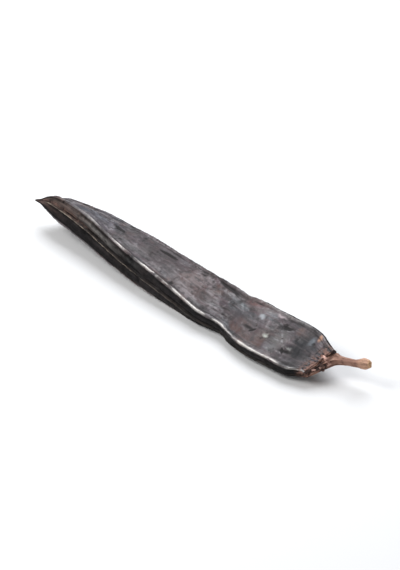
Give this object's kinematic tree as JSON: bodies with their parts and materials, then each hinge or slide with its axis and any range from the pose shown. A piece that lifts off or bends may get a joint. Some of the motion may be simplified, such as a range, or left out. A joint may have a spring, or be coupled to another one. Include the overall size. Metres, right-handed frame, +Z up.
{
  "type": "carob pod",
  "caption": "Dried carob pod, long and flat with beaded margins, a beak at one end and its woody stalk at the other, lying on a surface.",
  "frame": {"origin": "middle of the whole pod's box from above, on the surface it lies on", "axes": "+X along the pod from its beak to its stalk, +Z up from the surface it lies on, +Y across the pod to its rear margin"},
  "size_m": [0.1854, 0.0304, 0.0178],
  "materials": {
    "pod_skin": "dried leathery pod skin, dark brown to black with a dull waxy sheen",
    "stalk_bark": "matte fibrous brown bark, paler on the broken end"
  },
  "bodies": {
    "root": {"pod": "pod_skin", "stalk": "stalk_bark"}
  },
  "joints": []
}
